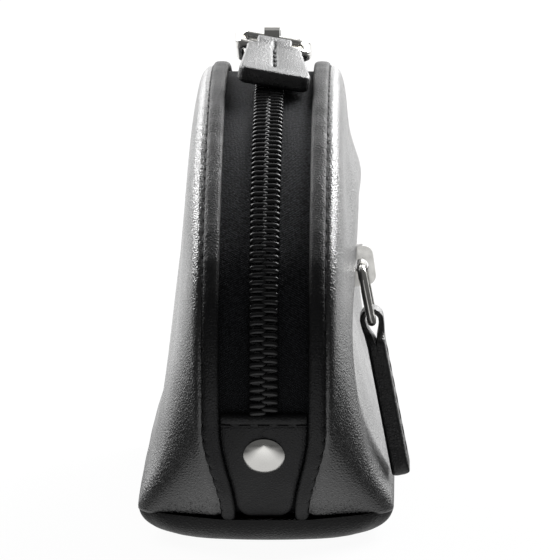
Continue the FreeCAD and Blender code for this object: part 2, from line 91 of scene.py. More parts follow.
def heelTurn(height):
    return 90 + math.degrees(math.asin((case["noseHeight"] - height) / case["heelRadius"]))


endY = case["length"] / 2 - case["endRadius"]
heelY = case["length"] / 2 - case["heelRadius"]
endFall = case["noseHeight"] - case["height"]
topRadius = (endY ** 2 + endFall ** 2 - case["endRadius"] ** 2) / (-2 * (endFall + case["endRadius"]))
topCentre = case["height"] - topRadius
topTurn = math.degrees(math.atan2(endY, case["noseHeight"] - topCentre))
seamTurn = heelTurn(case["seamHeight"] - case["seamDrop"])
seamEndY = heelY + math.sqrt(case["heelRadius"] ** 2 - (case["noseHeight"] - case["seamHeight"]) ** 2)
baseCornerY = seamEndY - case["baseBow"] - case["baseEndClear"]
baseHalf = case["depth"] / 2 - case["hemTuck"]
hemHalf = baseHalf + case["bellyOut"] * hump(case["bellyRise"], 0, case["bellySpread"])
turnMarks = np.array([0, topTurn, 90, seamTurn])
arcRadii = np.array([topRadius, case["endRadius"], case["heelRadius"]])
runMarks = np.concatenate([[0], np.cumsum(arcRadii * np.radians(np.diff(turnMarks)))])
halfRun = runMarks[-1]


# turn of the outline's normal at a signed length from the top, minus towards the near end
def turnAt(run):
    return np.sign(run) * np.interp(np.abs(run), runMarks, turnMarks)


def runAt(turn):
    return np.sign(turn) * np.interp(np.abs(turn), turnMarks, runMarks)


# share of the way along the outline, and a fade towards both of its ends
def alongAt(run):
    along = (run + halfRun) / (2 * halfRun)
    return along, smooth(np.minimum(along, 1 - along) / case["endFade"])


# outline = arc centre + (radius + lift) * direction of the normal, one arc each for top, end and heel
def outline(turn, lift):
    size = np.abs(turn)
    onTop = size <= topTurn
    onEnd = size <= 90
    centreY = np.where(onTop, 0, np.where(onEnd, endY, heelY))
    centreZ = np.where(onTop, topCentre, case["noseHeight"])
    reach = np.where(onTop, topRadius, np.where(onEnd, case["endRadius"], case["heelRadius"])) + lift
    angle = np.radians(size)
    return np.sign(turn) * (centreY + reach * np.sin(angle)), centreZ + reach * np.cos(angle)


def taper(turn, high, low):
    height = outline(turn, 0)[1]
    return low + (high - low) * smooth((height - case["seamHeight"]) / (case["taperHeight"] - case["seamHeight"]))


def gussetEdge(turn):
    return taper(turn, case["gussetHalf"], case["gussetHalfLow"])


def bindingEdge(turn):
    return gussetEdge(turn) - taper(turn, case["bindingWidth"], case["bindingWidthLow"])


def flatPoint(x, y, z):
    return np.stack(np.broadcast_arrays(x, y, z), -1)


# point at width x beside the zip's centre line, run along it and lift above it
def zipPoint(x, run, lift):
    return flatPoint(x, *outline(turnAt(run), lift))


# rounds the plan corners of the base: beyond the corner circle a point goes back onto it
def roundCorner(points, insetX, insetY):
    size = case["cornerRound"]
    halfX = hemHalf - insetX
    halfY = baseCornerY - insetY
    x, y, z = points[..., 0], points[..., 1], points[..., 2]
    endLine = halfY + case["baseBow"] * (1 - np.clip(x / halfX, -1, 1) ** 2)
    outX = np.abs(x) - (halfX - size)
    outY = np.abs(y) - (endLine - size)
    reach = np.hypot(np.maximum(outX, 1e-9), np.maximum(outY, 1e-9))
    pull = np.where((outX > 0) & (outY > 0) & (reach > size), size / reach, 1)
    x = np.sign(x) * np.where(pull < 1, halfX - size + outX * pull, np.abs(x))
    y = np.sign(y) * np.where(pull < 1, endLine - size + outY * pull, np.abs(y))
    return flatPoint(x, y, z)


# half width of the hem: the case's own, less what the corner circle takes near the ends
def hemWidth(baseY, depth):
    size = case["cornerRound"]
    share = np.clip((np.abs(baseY) - (baseCornerY - depth - size)) / size, 0, 1)
    return case["depth"] / 2 - size * (1 - np.sqrt(1 - share ** 2))


# panel = straight line from the hem (v 0) to the gusset seam (v 1), bowed sideways by the bell curve,
# drawn in at the hem and, on the front, where the pocket is, deepest just below its lip
def panelPoint(side, run, v, depth, seamShift=0.1):
    run, v, depth = np.broadcast_arrays(run, v, np.asarray(depth, float))
    turn = turnAt(run)
    along, middle = alongAt(run)
    seamY, seamZ = outline(turn, -case["seamSink"] - depth)
    seamX = gussetEdge(turn) + seamShift
    shoulder = np.sqrt(np.clip(1 - v ** case["shoulderPower"], 0, 1))
    waist = (case["waistHalf"] - case["gussetHalf"]) / (case["depth"] / 2 - case["gussetHalf"])
    body = (waist + (1 - waist) * (1 - v) ** case["bellPower"]) * shoulder
    bell = 1 - v + (body - (1 - v)) * middle
    baseY = -(baseCornerY - depth) * np.cos(np.pi * along)
    inward = depth * ((1 - middle) * (1 - v) + middle * shoulder)
    y = baseY + (seamY - baseY) * v
    drawnIn = case["hemTuck"] * np.clip(1 - v / case["tuckShare"], 0, 1) ** 2
    if side > 0:
        hollow = case["pocketHollow"] * smooth(v / case["hollowLow"]) * smooth((1 - v) / case["hollowHigh"])
        hollow = hollow + case["hollowMore"] * hump(v, case["moreShare"], case["moreSpread"])
        lip = case["lipOut"] * hump(v, case["lipShare"], case["lipSpread"])
        drawnIn = drawnIn + (hollow - lip) * smooth((case["hollowEnd"] - np.abs(y)) / case["hollowFade"])
    z = case["hemHeight"] + (seamZ - case["hemHeight"]) * v
    belly = case["bellyOut"] * hump(z - case["hemHeight"], case["bellyRise"], case["bellySpread"]) * bell
    x = seamX + (hemWidth(baseY, depth) - seamX) * bell - inward - drawnIn + belly
    return flatPoint(side * x, y, z)


def gridNormals(points, side):
    normal = np.cross(np.gradient(points, axis=0), np.gradient(points, axis=1))
    normal /= np.maximum(np.linalg.norm(normal, axis=-1, keepdims=True), 1e-12)
    return normal if normal[..., 0].mean() * side > 0 else -normal


def gridIndex(shape, start=0):
    return start + np.arange(shape[0] * shape[1]).reshape(shape[0], shape[1])


def gridQuads(index, wrapRows=False, wrapCols=False):
    if wrapRows:
        index = np.concatenate([index, index[:1]], 0)
    if wrapCols:
        index = np.concatenate([index, index[:, :1]], 1)
    return np.stack([index[:-1, :-1], index[1:, :-1], index[1:, 1:], index[:-1, 1:]], -1).reshape(-1, 4)


def rimQuads(a, b):
    return np.stack([a[:-1], a[1:], b[1:], b[:-1]], -1)


# closed slab between two skins over the same grid, with its four rims
def slabMesh(outer, inner):
    top = gridIndex(outer.shape)
    under = gridIndex(inner.shape, top.size)
    faces = [gridQuads(top), gridQuads(under)[:, ::-1]]
    for cut in (np.s_[0, :], np.s_[-1, :], np.s_[:, 0], np.s_[:, -1]):
        faces.append(rimQuads(top[cut], under[cut]))
    return np.concatenate([outer.reshape(-1, 3), inner.reshape(-1, 3)]), np.concatenate(faces)


# closed skin over a row of rings, capped at the first and the last
def cappedMesh(points):
    index = gridIndex(points.shape)
    faces = gridQuads(index, False, True).tolist() + [index[0].tolist(), index[-1][::-1].tolist()]
    return points.reshape(-1, 3), faces


# tube = circle carried along a path, its first axis turned to the given side, its second stretched by flat
def tubeMesh(path, sideways, radius, sides, closed=False, flat=1.0):
    if closed:
        tangent = np.roll(path, -1, 0) - np.roll(path, 1, 0)
    else:
        tangent = np.gradient(path, axis=0)
    tangent /= np.linalg.norm(tangent, axis=1, keepdims=True)
    first = sideways - tangent * np.sum(sideways * tangent, 1, keepdims=True)
    first /= np.linalg.norm(first, axis=1, keepdims=True)
    second = np.cross(tangent, first)
    angle = np.linspace(0, 2 * np.pi, sides, endpoint=False)[None, :, None]
    skin = path[:, None] + radius * (np.cos(angle) * first[:, None] + flat * np.sin(angle) * second[:, None])
    if closed:
        return skin.reshape(-1, 3), gridQuads(gridIndex(skin.shape), True, True)
    return cappedMesh(skin)


# short stitches: a long blunt ellipsoid at each spot, laid along its direction
stitch = {"rings": 7, "sides": 8, "endCut": 0.12, "blunt": 0.6, "ahead": 0.05}


def stitchMesh(spots, direction, normal, length, radius):
    direction = direction / np.linalg.norm(direction, axis=1, keepdims=True)
    across = np.cross(direction, normal)
    across /= np.linalg.norm(across, axis=1, keepdims=True)
    up = np.cross(across, direction)
    polar = np.linspace(stitch["endCut"], np.pi - stitch["endCut"], stitch["rings"])[:, None]
    angle = np.linspace(0, 2 * np.pi, stitch["sides"], endpoint=False)[None, :]
    a = (np.cos(polar) + 0 * angle) * length / 2
    b = np.sin(polar) ** stitch["blunt"] * np.cos(angle) * radius
    c = np.sin(polar) ** stitch["blunt"] * np.sin(angle) * radius
    shells = (spots[:, None, None] + a[None, ..., None] * direction[:, None, None]
              + b[None, ..., None] * across[:, None, None] + c[None, ..., None] * up[:, None, None])
    return joinMeshes([cappedMesh(shell) for shell in shells])


def joinMeshes(meshes):
    points, faces, start = [], [], 0
    for p, f in meshes:
        points.append(p)
        faces += [[k + start for k in face] for face in f]
        start += len(p)
    return np.concatenate(points), faces


def shiftBy(x, y, z):
    place = np.eye(4)
    place[:3, 3] = x, y, z
    return place


def turnBy(axis, degrees):
    place = np.eye(4)
    c, s = math.cos(math.radians(degrees)), math.sin(math.radians(degrees))
    i, j = {"x": (1, 2), "y": (2, 0), "z": (0, 1)}[axis]
    place[i, i], place[i, j], place[j, i], place[j, j] = c, -s, s, c
    return place


def onOutline(turn, lift=0.0):
    y, z = outline(turn, lift)
    return shiftBy(0, float(y), float(z)) @ turnBy("x", -turn)


def placed(shape, place):
    points, faces = shape
    return points @ place[:3, :3].T + place[:3, 3], faces


# makes the object from millimetre points, closes doubles and turns the faces outward
def addPiece(name, shape, material, sharp=50, flat=None):
    points, faces = shape
    mesh = bpy.data.meshes.new(name)
    mesh.from_pydata((points / 1000).tolist(), [], faces.tolist() if hasattr(faces, "tolist") else faces)
    if flat is not None:
        corner = np.empty(len(mesh.loops), np.int32)
        mesh.loops.foreach_get("vertex_index", corner)
        mesh.uv_layers.new(name="cloth").data.foreach_set("uv", flat[corner].ravel())
    shell = bmesh.new()
    shell.from_mesh(mesh)
    bmesh.ops.remove_doubles(shell, verts=shell.verts, dist=1e-7)
    bmesh.ops.recalc_face_normals(shell, faces=shell.faces)
    shell.to_mesh(mesh)
    shell.free()
    mesh.shade_smooth()
    mesh.set_sharp_from_angle(angle=math.radians(sharp))
    mesh.materials.append(material)
    piece = bpy.data.objects.new(name, mesh)
    scene.collection.objects.link(piece)
    return piece


# back and front halves of the leather and zip: the back half's pieces hang on the case_back body, the front half's
# are only fixed in place, though on the case it folds between the base and the opened front
halves = ((-1, "back", "case_back"), (1, "front", "frontFold"))


def settle(piece, body, slotName, *nodes):
    if body == "frontFold":
        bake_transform(piece)
    else:
        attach(piece, body)
    if nodes:
        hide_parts(*nodes)


# materials


def newMaterial(name):
    material = bpy.data.materials.new(name)
    material.use_nodes = True
    tree = material.node_tree
    tree.nodes.clear()
    out = tree.nodes.new("ShaderNodeOutputMaterial")
    shader = tree.nodes.new("ShaderNodeBsdfPrincipled")
    tree.links.new(shader.outputs["BSDF"], out.inputs["Surface"])
    return material, tree, shader


def addNode(tree, kind, links=None, **settings):
    node = tree.nodes.new(kind)
    for key, value in settings.items():
        if key in node.inputs:
            node.inputs[key].default_value = value
        else:
            setattr(node, key, value)
    for key, source in (links or {}).items():
        tree.links.new(source, node.inputs[key])
    return node


def ramp(tree, source, low, high, lowValue, highValue):
    span = {"From Min": low, "From Max": high, "To Min": lowValue, "To Max": highValue}
    return addNode(tree, "ShaderNodeMapRange", {"Value": source}, **span).outputs["Result"]


def mathNode(tree, operation, a, b=0.0):
    node = addNode(tree, "ShaderNodeMath", operation=operation)
    for slot, value in ((0, a), (1, b)):
        if isinstance(value, (int, float)):
            node.inputs[slot].default_value = value
        else:
            tree.links.new(value, node.inputs[slot])
    return node.outputs[0]


def noise(tree, place, scale, detail):
    return addNode(tree, "ShaderNodeTexNoise", {"Vector": place}, Scale=scale, Detail=detail).outputs


def mixColour(tree, factor, a, b):
    node = addNode(tree, "ShaderNodeMix", {"Factor": factor}, data_type="RGBA")
    node.inputs[6].default_value = (*a, 1)
    node.inputs[7].default_value = (*b, 1)
    return node.outputs[2]


# most of a noise lies between these two values
noiseSpan = (0.3, 0.7)

# soft grain leather: cell grain and pores as bump, cloudy tone and gloss, and painted shade that darkens the
# valleys between the grain's cells
leatherLook = {
    "dark": (0.0055, 0.0057, 0.0067), "light": (0.0095, 0.0097, 0.0112), "cloud": 150.0, "valleyShade": 0.55,
    "grain": 0.00045, "grainDepth": 0.00006, "grainTop": 0.45, "bend": 0.9, "pore": 0.00021, "poreDepth": 0.000035,
    "gloss": (0.28, 0.38), "specular": 0.8, "coat": 1.0, "coatGloss": 0.29,
}


def makeLeather(name, **own):
    look = {**leatherLook, **own}
    material, tree, shader = newMaterial(name)
    place = addNode(tree, "ShaderNodeTexCoord").outputs["Object"]
    cloud = noise(tree, place, look["cloud"], 4.0)["Fac"]
    bent = noise(tree, place, 0.5 / look["grain"], 2.0)["Color"]
    shift = addNode(tree, "ShaderNodeVectorMath", {0: bent}, operation="SCALE")
    shift.inputs["Scale"].default_value = look["grain"] * look["bend"]
    warped = addNode(tree, "ShaderNodeVectorMath", {0: place, 1: shift.outputs[0]}, operation="ADD").outputs[0]
    cells = addNode(tree, "ShaderNodeTexVoronoi", {"Vector": warped}, Scale=1 / look["grain"],
                    feature="DISTANCE_TO_EDGE")
    hills = ramp(tree, cells.outputs["Distance"], 0.0, look["grainTop"], 0.0, 1.0)
    pores = noise(tree, place, 1 / look["pore"], 3.0)["Fac"]
    fine = addNode(tree, "ShaderNodeBump", {"Height": pores}, Distance=look["poreDepth"], Strength=1.0)
    coarse = addNode(tree, "ShaderNodeBump", {"Height": hills, "Normal": fine.outputs["Normal"]},
                     Distance=look["grainDepth"], Strength=1.0)
    # painted shade: the colour darkens in the valleys between the grain's cells, down to the valley factor
    tone = mathNode(tree, "MULTIPLY", cloud, ramp(tree, hills, 0.0, 1.0, look["valleyShade"], 1.0))
    tree.links.new(mixColour(tree, tone, look["dark"], look["light"]), shader.inputs["Base Color"])
    tree.links.new(ramp(tree, cloud, *noiseSpan, *look["gloss"]), shader.inputs["Roughness"])
    tree.links.new(coarse.outputs["Normal"], shader.inputs["Normal"])
    tree.links.new(coarse.outputs["Normal"], shader.inputs["Coat Normal"])
    shader.inputs["Specular IOR Level"].default_value = look["specular"]
    shader.inputs["Coat Weight"].default_value = look["coat"]
    shader.inputs["Coat Roughness"].default_value = look["coatGloss"]
    return material


leather = makeLeather("blackNappa")
pullLeather = makeLeather("pullNappa", grain=0.00040, grainDepth=0.00005, gloss=(0.40, 0.52), coat=0.6)
bindingLeather = makeLeather("bindingNappa", gloss=(0.52, 0.64), specular=0.4, coat=0.1)
baseLeather = makeLeather("baseNappa", dark=(0.006, 0.006, 0.007), light=(0.010, 0.010, 0.011), specular=0.25,
                          coat=0.0)

# twill zip tape: fine slanted ribs over the flat cloth, worked out from its own width and length in millimetres,
# its grooves painted in shade and its rib tops painted lighter as if lit
tapeLook = {
    "dark": (0.0045, 0.005, 0.0062), "light": (0.110, 0.116, 0.130), "rib": 0.36, "slant": 0.6, "depth": 0.00012,
    "yarn": 1.7, "yarnLow": 0.35, "fuzz": 2600.0, "fuzzSpan": (0.36, 0.66), "fuzzTone": (0.05, 1.5),
    "rough": 0.8, "specular": 0.25, "sheen": 0.05,
}


def makeWeave(name, **own):
    look = {**tapeLook, **own}
    material, tree, shader = newMaterial(name)
    flat = addNode(tree, "ShaderNodeUVMap", uv_map="cloth").outputs["UV"]
    split = addNode(tree, "ShaderNodeSeparateXYZ", {0: flat})
    warp = mathNode(tree, "MULTIPLY", split.outputs[0], 2 * math.pi / look["rib"])
    weft = mathNode(tree, "MULTIPLY", split.outputs[1], 2 * math.pi / look["rib"])
    slanted = mathNode(tree, "ADD", weft, mathNode(tree, "MULTIPLY", warp, look["slant"]))
    ribs = ramp(tree, mathNode(tree, "SINE", slanted), -1.0, 1.0, 0.0, 1.0)
    twist = mathNode(tree, "SINE", mathNode(tree, "MULTIPLY", warp, look["yarn"]))
    yarn = ramp(tree, twist, -1.0, 1.0, look["yarnLow"], 1.0)
    fuzz = noise(tree, addNode(tree, "ShaderNodeTexCoord").outputs["Object"], look["fuzz"], 3.0)["Fac"]
    fuzz = ramp(tree, fuzz, *look["fuzzSpan"], *look["fuzzTone"])
    weave = mathNode(tree, "MULTIPLY", mathNode(tree, "MULTIPLY", ribs, yarn), fuzz)
    bump = addNode(tree, "ShaderNodeBump", {"Height": weave}, Distance=look["depth"], Strength=1.0)
    # painted light and shade: the weave's height sets the colour, dark in the grooves and light on the rib and yarn
    # tops, while the fuzz varies it at random
    tree.links.new(mixColour(tree, weave, look["dark"], look["light"]), shader.inputs["Base Color"])
    tree.links.new(bump.outputs["Normal"], shader.inputs["Normal"])
    shader.inputs["Roughness"].default_value = look["rough"]
    shader.inputs["Specular IOR Level"].default_value = look["specular"]
    shader.inputs["Sheen Weight"].default_value = look["sheen"]
    return material


tapeCloth = makeWeave("zipTapeTwill")
liningCloth = makeWeave("liningWeave", dark=(0.020, 0.021, 0.024), light=(0.055, 0.056, 0.062), rib=0.34,
                        slant=0.0, depth=0.00004)


# cloudy tone and gloss over slight bumps, for nylon, thread, metal and fibre board
def makePlain(name, dark, light, scale, rough, depth, metallic=0.0, stretch=(1, 1, 1)):
    material, tree, shader = newMaterial(name)
    place = addNode(tree, "ShaderNodeTexCoord").outputs["Object"]
    mapped = addNode(tree, "ShaderNodeMapping", {"Vector": place}, Scale=stretch)
    cloud = noise(tree, mapped.outputs[0], scale, 4.0)["Fac"]
    tree.links.new(mixColour(tree, cloud, dark, light), shader.inputs["Base Color"])
    tree.links.new(ramp(tree, cloud, *noiseSpan, *rough), shader.inputs["Roughness"])
    bump = addNode(tree, "ShaderNodeBump", {"Height": cloud}, Distance=depth, Strength=0.6)
    tree.links.new(bump.outputs["Normal"], shader.inputs["Normal"])
    shader.inputs["Metallic"].default_value = metallic
    return material


nylon = makePlain("coilNylon", dark=(0.006, 0.006, 0.007), light=(0.012, 0.012, 0.014), scale=900.0,
                  rough=(0.22, 0.34), depth=0.000004)
thread = makePlain("sewingThread", dark=(0.004, 0.004, 0.005), light=(0.012, 0.012, 0.014), scale=5000.0,
                   rough=(0.55, 0.75), depth=0.00003)
nickel = makePlain("polishedNickel", dark=(0.83, 0.82, 0.79), light=(0.92, 0.91, 0.88), scale=700.0,
                   rough=(0.12, 0.22), depth=0.0000025, metallic=1.0)
dullNickel = makePlain("brushedNickel", dark=(0.55, 0.54, 0.52), light=(0.70, 0.69, 0.67), scale=1500.0,
                       rough=(0.25, 0.40), depth=0.000004, metallic=1.0, stretch=(4, 0.3, 1))
fibre = makePlain("baseFibre", dark=(0.16, 0.10, 0.055), light=(0.26, 0.17, 0.10), scale=2200.0,
                  rough=(0.75, 0.9), depth=0.00004)
print("materials ready")

# panels

panel = {
    "columns": 300, "lowRows": 46, "shoulderRows": 26, "shoulderStart": 0.82, "hemRound": 0.8,
    "crease": 0.22, "creaseSpread": 0.55, "pucker": 0.11, "puckerReach": 1.0,
    "biteLeast": 0.3, "biteTop": 26.0, "biteFade": 14.0, "swell": 0.05, "swellAt": 1.9, "swellSpread": 0.9,
    "ripple": 0.045, "rippleReach": 2.6, "rippleStart": 0.8, "drift": (0.9, 2.1, 0.23), "beat": (0.5, 3, 0.31),
    "slack": 0.12, "slackStart": 8.0, "broadWave": (0.11, 0.16), "shortWave": (0.29, 0.12),
    "slotHeight": 37.8, "slotHalf": 4.1, "slotLength": 34.0, "slotPower": 24, "lipRound": 0.9,
    "underSlot": (34, 12, 0.9), "overSlot": (10, 18, 0.1), "slotCrease": 0.12, "slotCreaseSpread": 0.4,
    "slotStitch": 1.7, "stitchRange": (-31.0, 31.1), "stitchSink": 0.02, "stitchLength": 1.8, "stitchThick": 0.17,
}
faceSpan = case["height"] - case["seamSink"] - case["hemHeight"]
slotShare = (panel["slotHeight"] - case["hemHeight"]) / faceSpan
run = np.linspace(-halfRun, halfRun, panel["columns"])[:, None]

# rows close up over the shoulder, where they follow the angle of its curve
halfPower = case["shoulderPower"] / 2
shoulderAngle = np.linspace(math.asin(panel["shoulderStart"] ** halfPower), math.pi / 2, panel["shoulderRows"])
shoulderRows = np.sin(shoulderAngle) ** (1 / halfPower)


def rowLength(points):
    step = np.linalg.norm(np.diff(points, axis=1), axis=-1)
    return np.concatenate([np.zeros((len(points), 1)), np.cumsum(step, 1)], 1)


# how far each stitch bites: full near the base, slight higher up
def stitchBite(run):
    height = outline(turnAt(run), 0)[1]
    share = smooth((panel["biteTop"] - height) / panel["biteFade"])
    share = panel["biteLeast"] + (1 - panel["biteLeast"]) * share
    return np.clip(np.cos(2 * np.pi * run / case["stitchPitch"]), 0, 1) ** 2 * share


# length along each column from the nearer end edge
def endLength(points):
    near = rowLength(points.swapaxes(0, 1)).T
    return np.minimum(near, near[-1:] - near)


# leather relief: a crease and one pucker per stitch along the gusset seam, a swell beside it, and slow waves
def panelRelief(side, points, fromHem):
    fromSeam = fromHem[:, -1:] - fromHem
    relief = -panel["crease"] * hump(fromSeam, 0, panel["creaseSpread"])
    relief = relief - panel["pucker"] * stitchBite(run) * hump(fromSeam, 0, panel["puckerReach"])
    relief = relief + panel["swell"] * hump(fromSeam, panel["swellAt"], panel["swellSpread"])
    pace, sway, swayPace = panel["beat"]
    beat = np.sin(2 * np.pi * run / case["stitchPitch"] * pace + sway * np.sin(run * swayPace))
    ripple = panel["ripple"] * wander(run, *panel["drift"], side) * beat
    relief = relief + ripple * np.exp(-fromSeam / panel["rippleReach"]) * smooth(fromSeam / panel["rippleStart"])
    y, z = points[..., 1], points[..., 2]
    waves = np.sin(y * panel["broadWave"][0] + side) * np.sin(z * panel["broadWave"][1] + 0.5 * side)
    waves = waves + 0.5 * np.sin(y * panel["shortWave"][0] - z * panel["shortWave"][1])
    slack = panel["slack"] * waves * smooth(fromSeam / panel["slackStart"])
    return relief + slack * smooth(fromHem / panel["slackStart"])


# hem roll = quarter round along the hem and end edges, drawn in square to the base's plan
def hemRoll(points, fromHem):
    amount = edgeFall(panel["hemRound"], np.minimum(fromHem, endLength(points)))
    inner = np.array([hemHalf - case["cornerRound"], baseCornerY - case["cornerRound"]])
    out = points[..., :2] - np.clip(points[..., :2], -inner, inner)
    out = out / np.maximum(np.linalg.norm(out, axis=-1, keepdims=True), 1e-6)
    return np.concatenate([-out * amount[..., None], 0 * amount[..., None]], -1)


# outer skin with its normals, length from the hem and relief, and the inner skin
def panelSkins(side, rows):
    outer = panelPoint(side, run, rows, 0.0)
    length = rowLength(outer)
    inner = panelPoint(side, run, rows, case["leather"])
    return outer, gridNormals(outer, side), length, panelRelief(side, outer, length), inner


rows = np.linspace(0, panel["shoulderStart"], panel["lowRows"], endpoint=False)
rows = np.concatenate([rows, shoulderRows])[None, :] + 0 * run
outer, normal, length, relief, inner = panelSkins(-1, rows)
outer = outer + normal * relief[..., None] + hemRoll(outer, length)
piece = addPiece("backPanelLeather", slabMesh(outer, inner), leather, 60)
settle(piece, "case_back", "black_leather", "back_panel")

# front panel: the rows part at the pocket's height, so a rounded slot opens between them
slotY = panelPoint(1, run[:, 0], slotShare, 0.0)[:, 1]
slotOpen = np.sqrt(np.clip(1 - np.abs(slotY / panel["slotLength"]) ** panel["slotPower"], 0, 1))[:, None]
slotGap = slotOpen * panel["slotHalf"] / faceSpan
wideRows, fineRows, fineFrom = panel["underSlot"]
lowRows = np.concatenate([np.linspace(0, fineFrom, wideRows, endpoint=False), np.linspace(fineFrom, 1, fineRows)])
lowShare = lowRows[None, :] * (slotShare - slotGap)
fineRows, wideRows, fineTo = panel["overSlot"]
highRows = np.concatenate([np.linspace(0, fineTo, fineRows, endpoint=False),
                           np.linspace(fineTo, 1, wideRows, endpoint=False)])
highRows = np.concatenate([slotShare + (panel["shoulderStart"] - slotShare) * highRows, shoulderRows])[None, :]
highShare = slotShare + slotGap + (highRows - slotShare) * (1 - slotShare - slotGap) / (1 - slotShare)
count = lowShare.shape[1]
outer, normal, length, relief, inner = panelSkins(1, np.concatenate([lowShare, highShare], 1))
fromLip = np.concatenate([length[:, count - 1:count] - length[:, :count],
                          length[:, count:] - length[:, count:count + 1]], 1)
relief = relief - slotOpen * edgeFall(panel["lipRound"], fromLip)
relief = relief - slotOpen * panel["slotCrease"] * hump(fromLip, panel["slotStitch"], panel["slotCreaseSpread"])
outer = outer + normal * relief[..., None] + hemRoll(outer, length)
top = gridIndex(outer.shape)
under = gridIndex(inner.shape, top.size)
shut = slotOpen[:, 0] <= 0
for index in (top, under):
    index[:, count] = np.where(shut, index[:, count - 1], index[:, count])
faces = []
for part in (np.s_[:, :count], np.s_[:, count:]):
    faces += [gridQuads(top[part]), gridQuads(under[part])[:, ::-1]]
    faces += [rimQuads(top[part][k], under[part][k]) for k in (0, -1)]
inSlot = np.flatnonzero(~shut)
inSlot = np.concatenate([[inSlot[0] - 1], inSlot, [inSlot[-1] + 1]])
for k in (count - 1, count):
    faces.append(rimQuads(top[inSlot, k], under[inSlot, k]))
faces += [rimQuads(top[:, k], under[:, k]) for k in (0, -1)]
shape = np.concatenate([outer.reshape(-1, 3), inner.reshape(-1, 3)]), np.concatenate(faces)
piece = addPiece("frontPanelLeather", shape, leather, 60)
settle(piece, "frontFold", "black_leather", "front_panel")
print("panels ready")

# edge bindings: a rounded strip carried along the outline, nipped in at each stitch

binding = {
    "steps": 1000, "sides": 22, "low": -1.1, "high": 0.28, "square": 0.72, "nip": 0.12, "dip": 0.16,
    "wave": 0.05, "sway": (0.8, 1.7, 0.21),
}
seamThread = {"clear": 1.5, "least": 1.2, "out": 0.02, "lift": -0.38, "length": 1.8, "thick": 0.15}


def bindingMesh(side):
    run = np.linspace(-halfRun, halfRun, binding["steps"])[:, None]
    angle = np.linspace(0, 2 * np.pi, binding["sides"], endpoint=False)[None, :]
    inX, outX = bindingEdge(turnAt(run)), gussetEdge(turnAt(run))
    across = squared(np.cos(angle), binding["square"])
    upward = squared(np.sin(angle), binding["square"])
    bite = stitchBite(run)
    x = (inX + outX) / 2 + (outX - inX) / 2 * across - binding["nip"] * bite * np.clip(across, 0, 1)
    middle = (binding["low"] + binding["high"]) / 2
    lift = middle + (binding["high"] - middle) * upward - binding["dip"] * np.clip(across, 0, 1) ** 2 * bite
    lift = lift + binding["wave"] * wander(run, *binding["sway"]) * np.clip(upward, 0, 1)
    return cappedMesh(zipPoint(side * x, run, lift))


# thread of the topstitch: short stitches in the crease between binding and panel
def seamStitches(side):
    count = int(2 * (halfRun - seamThread["clear"]) / case["stitchPitch"])
    run = (np.arange(count) - (count - 1) // 2 + 0.5) * case["stitchPitch"]
    run = run[np.abs(run) < halfRun - seamThread["least"]]
    onward = run + stitch["ahead"]
    x = side * (gussetEdge(turnAt(run)) + seamThread["out"])
    spots = zipPoint(x, run, seamThread["lift"])
    ahead = zipPoint(side * (gussetEdge(turnAt(onward)) + seamThread["out"]), onward, seamThread["lift"])
    up = zipPoint(x, run, 1) - spots
    return stitchMesh(spots, ahead - spots, up, seamThread["length"], seamThread["thick"])


for side, name, body in halves:
    piece = addPiece(name + "EdgeBinding", bindingMesh(side), bindingLeather)
    settle(piece, body, "black_leather", name + "_edge_binding")
    piece = addPiece(name + "SeamStitches", seamStitches(side), thread)
    settle(piece, body, "black_leather")
print("bindings ready")

# zip over the top: tapes and interlocking coils

tape = {"steps": 260, "columns": 9, "high": -1.2, "thick": 0.5, "inner": 0.1, "inset": 0.35}
coil = {
    "pitch": 1.2, "wire": 0.22, "flat": 1.65, "inX": -0.3, "outX": 2.0, "low": -0.80, "high": -0.05, "points": 18,
    "sides": 8, "square": 0.75, "rung": 0.85, "shift": 0.25, "endHeight": 20.3,
}


# tape over a grid of widths and runs, with its flat cloth; pointAt takes width, run and lift to a place
def tapeMesh(side, x, run, pointAt):
    flat = np.stack(np.broadcast_arrays(x, run), -1).reshape(-1, 2)
    outer = pointAt(side * x, run, tape["high"])
    inner = pointAt(side * x, run, tape["high"] - tape["thick"])
    return slabMesh(outer, inner), np.concatenate([flat, flat])


# coil = flat oval winding: straight rungs on top, stepping on by one pitch underneath
def coilMesh(side, end, pointAt):
    loops = int(2 * end / coil["pitch"]) - 1
    angle = np.linspace(0, 2 * np.pi * loops, loops * coil["points"] + 1)
    turns = (angle + coil["rung"] * np.cos(angle)) / (2 * np.pi)
    run = -end + coil["pitch"] * (0.5 + coil["shift"] * side + turns)
    middleX, middleLift = (coil["inX"] + coil["outX"]) / 2, (coil["low"] + coil["high"]) / 2
    x = middleX + (coil["outX"] - coil["inX"]) / 2 * squared(np.cos(angle), coil["square"])
    lift = middleLift + (coil["high"] - coil["low"]) / 2 * squared(np.sin(angle), coil["square"])
    path = pointAt(side * x, run, lift)
    outward = path - pointAt(side * middleX, run, middleLift)
    return tubeMesh(path, outward, coil["wire"], coil["sides"], False, coil["flat"])


tapeRun = np.linspace(-halfRun, halfRun, tape["steps"])[:, None]
tapeShare = np.linspace(0, 1, tape["columns"])[None, :]
tapeX = tape["inner"] + (gussetEdge(turnAt(tapeRun)) - tape["inset"] - tape["inner"]) * tapeShare
for side, name, body in halves:
    shape, flat = tapeMesh(side, tapeX, tapeRun, zipPoint)
    piece = addPiece(name + "ZipTape", shape, tapeCloth, 50, flat)
    settle(piece, body, "zip_tape", name + "_zip_tape")
    piece = addPiece(name + "ZipCoil", coilMesh(side, runAt(heelTurn(coil["endHeight"])), zipPoint), nylon)
    settle(piece, body, "zip_coil", name + "_zip_coil")
print("zip ready")

# end tabs: leather tongues with a rolled top edge and rounded tip

